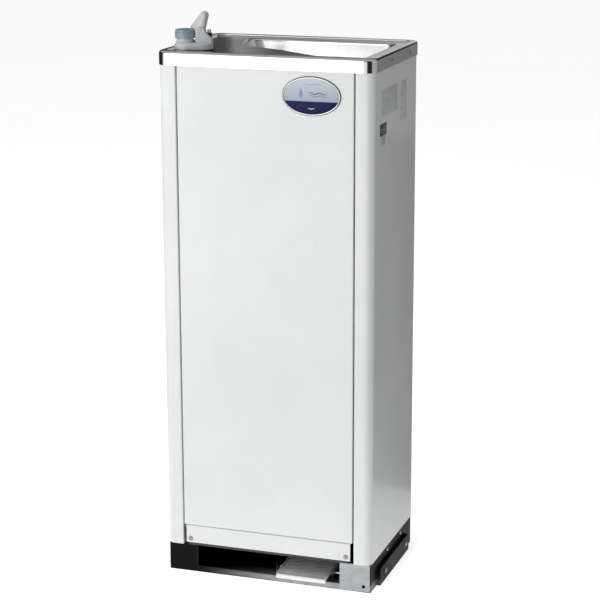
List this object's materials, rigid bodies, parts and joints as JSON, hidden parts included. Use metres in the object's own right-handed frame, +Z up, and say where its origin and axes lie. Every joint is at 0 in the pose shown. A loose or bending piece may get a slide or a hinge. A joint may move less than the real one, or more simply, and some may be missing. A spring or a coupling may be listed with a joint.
{
  "type": "drinking fountain",
  "caption": "Free-standing water cooler: tall narrow steel cabinet, stainless deck with a bowl, mouth-guarded bubbler with push button, and a foot pedal in a black base.",
  "frame": {"origin": "on the floor, under the middle of the cabinet", "axes": "+X to the right as a drinker faces it, +Y to the back, +Z up; the front panel looks along -Y"},
  "size_m": [0.3724, 0.2887, 0.9401],
  "materials": {
    "white_paint": "smooth baked enamel",
    "stainless_steel": "hairline finish",
    "black_paint": "satin powder coat",
    "zinc_steel": "zinc plated",
    "aluminium": "extruded, ribbed",
    "chrome": "polished",
    "grey_resin": "moulded",
    "blue_grey_resin": "moulded",
    "black_resin": "moulded",
    "badge_print": "printed and domed",
    "label_film": "printed film",
    "rubber": "moulded",
    "copper": "drawn tube",
    "brass": "turned",
    "foam": "moulded foam",
    "galvanised_steel": "galvanised sheet",
    "black_enamel": "enamelled",
    "drain_pvc": "extruded"
  },
  "bodies": {
    "cabinet": {"base_frame": "black_paint", "side_foot_left": "black_paint", "side_foot_right": "black_paint", "side_foot_screws": "zinc_steel", "pedal_bracket_right": "zinc_steel", "pedal_bracket_left": "black_paint", "pedal_rod": "zinc_steel", "pedal_spring": "zinc_steel", "pedal_valve_body": "brass", "side_panel_left": "white_paint", "side_panel_right": "white_paint", "front_panel": "white_paint", "kick_panel": "white_paint", "kick_screws": "zinc_steel", "rear_panel": "galvanised_steel", "rear_screws": "zinc_steel", "chassis_shelf": "black_paint", "deck": "stainless_steel", "deck_screws": "zinc_steel", "drain_strainer": "stainless_steel", "drain_cup": "chrome", "drain_pipe": "drain_pvc", "drain_outlet": "drain_pvc", "bubbler_gasket": "rubber", "bubbler_body": "grey_resin", "mouth_guard": "grey_resin", "nozzle_collar": "black_resin", "nozzle_tip": "chrome", "bubbler_shank": "brass", "bubbler_locknut": "brass", "badge_rim": "chrome", "badge_face": "badge_print", "side_labels": "label_film", "compressor": "black_enamel", "compressor_feet": "galvanised_steel", "compressor_grommets": "rubber", "terminal_cover": "black_resin", "condenser": "aluminium", "fan_shroud": "galvanised_steel", "fan_motor": "black_enamel", "cooling_tank": "stainless_steel", "evaporator_coil": "copper", "tank_insulation": "foam", "tank_shelf": "galvanised_steel", "filter_drier": "copper", "refrigerant_pipes": "copper", "supply_pipes": "copper", "inlet_fitting": "brass", "thermostat_body": "black_resin", "terminal_box": "grey_resin", "cord_gland": "black_resin"},
    "button": {"push_button": "blue_grey_resin", "button_stem": "brass"},
    "pedal": {"foot_pedal": "aluminium"},
    "valve_plunger": {"pedal_valve_plunger": "brass"},
    "fan": {"fan_blade": "black_resin"},
    "thermostat_dial": {"thermostat_knob": "black_resin"}
  },
  "joints": [
    {"name": "button_press", "type": "slide", "parent": "cabinet", "child": "button", "axis": [0, 0, -1], "range_m": [0, 0.004], "stiffness_N_per_m": 600, "springref_m": -0.004},
    {"name": "pedal_press", "type": "hinge", "parent": "cabinet", "child": "pedal", "pos_m": [0.061, -0.09, 0.014], "axis": [1, 0, 0], "range_deg": [0, 8], "stiffness_Nm_per_rad": 4, "springref_deg": -5.73},
    {"name": "valve_plunger_lift", "type": "slide", "parent": "cabinet", "child": "valve_plunger", "axis": [0, 0, 1], "range_m": [0, 0.0038]},
    {"name": "fan_spin", "type": "hinge", "parent": "cabinet", "child": "fan", "pos_m": [-0.075, 0.07, 0.165], "axis": [0, 1, 0], "continuous": true},
    {"name": "thermostat_turn", "type": "hinge", "parent": "cabinet", "child": "thermostat_dial", "pos_m": [-0.06, 0.13, 0.56], "axis": [0, 1, 0], "range_deg": [-135, 135]}
  ],
  "couplings": [
    {"joint": "valve_plunger_lift", "follows": "pedal_press", "m_per_rad": 0.0268}
  ]
}
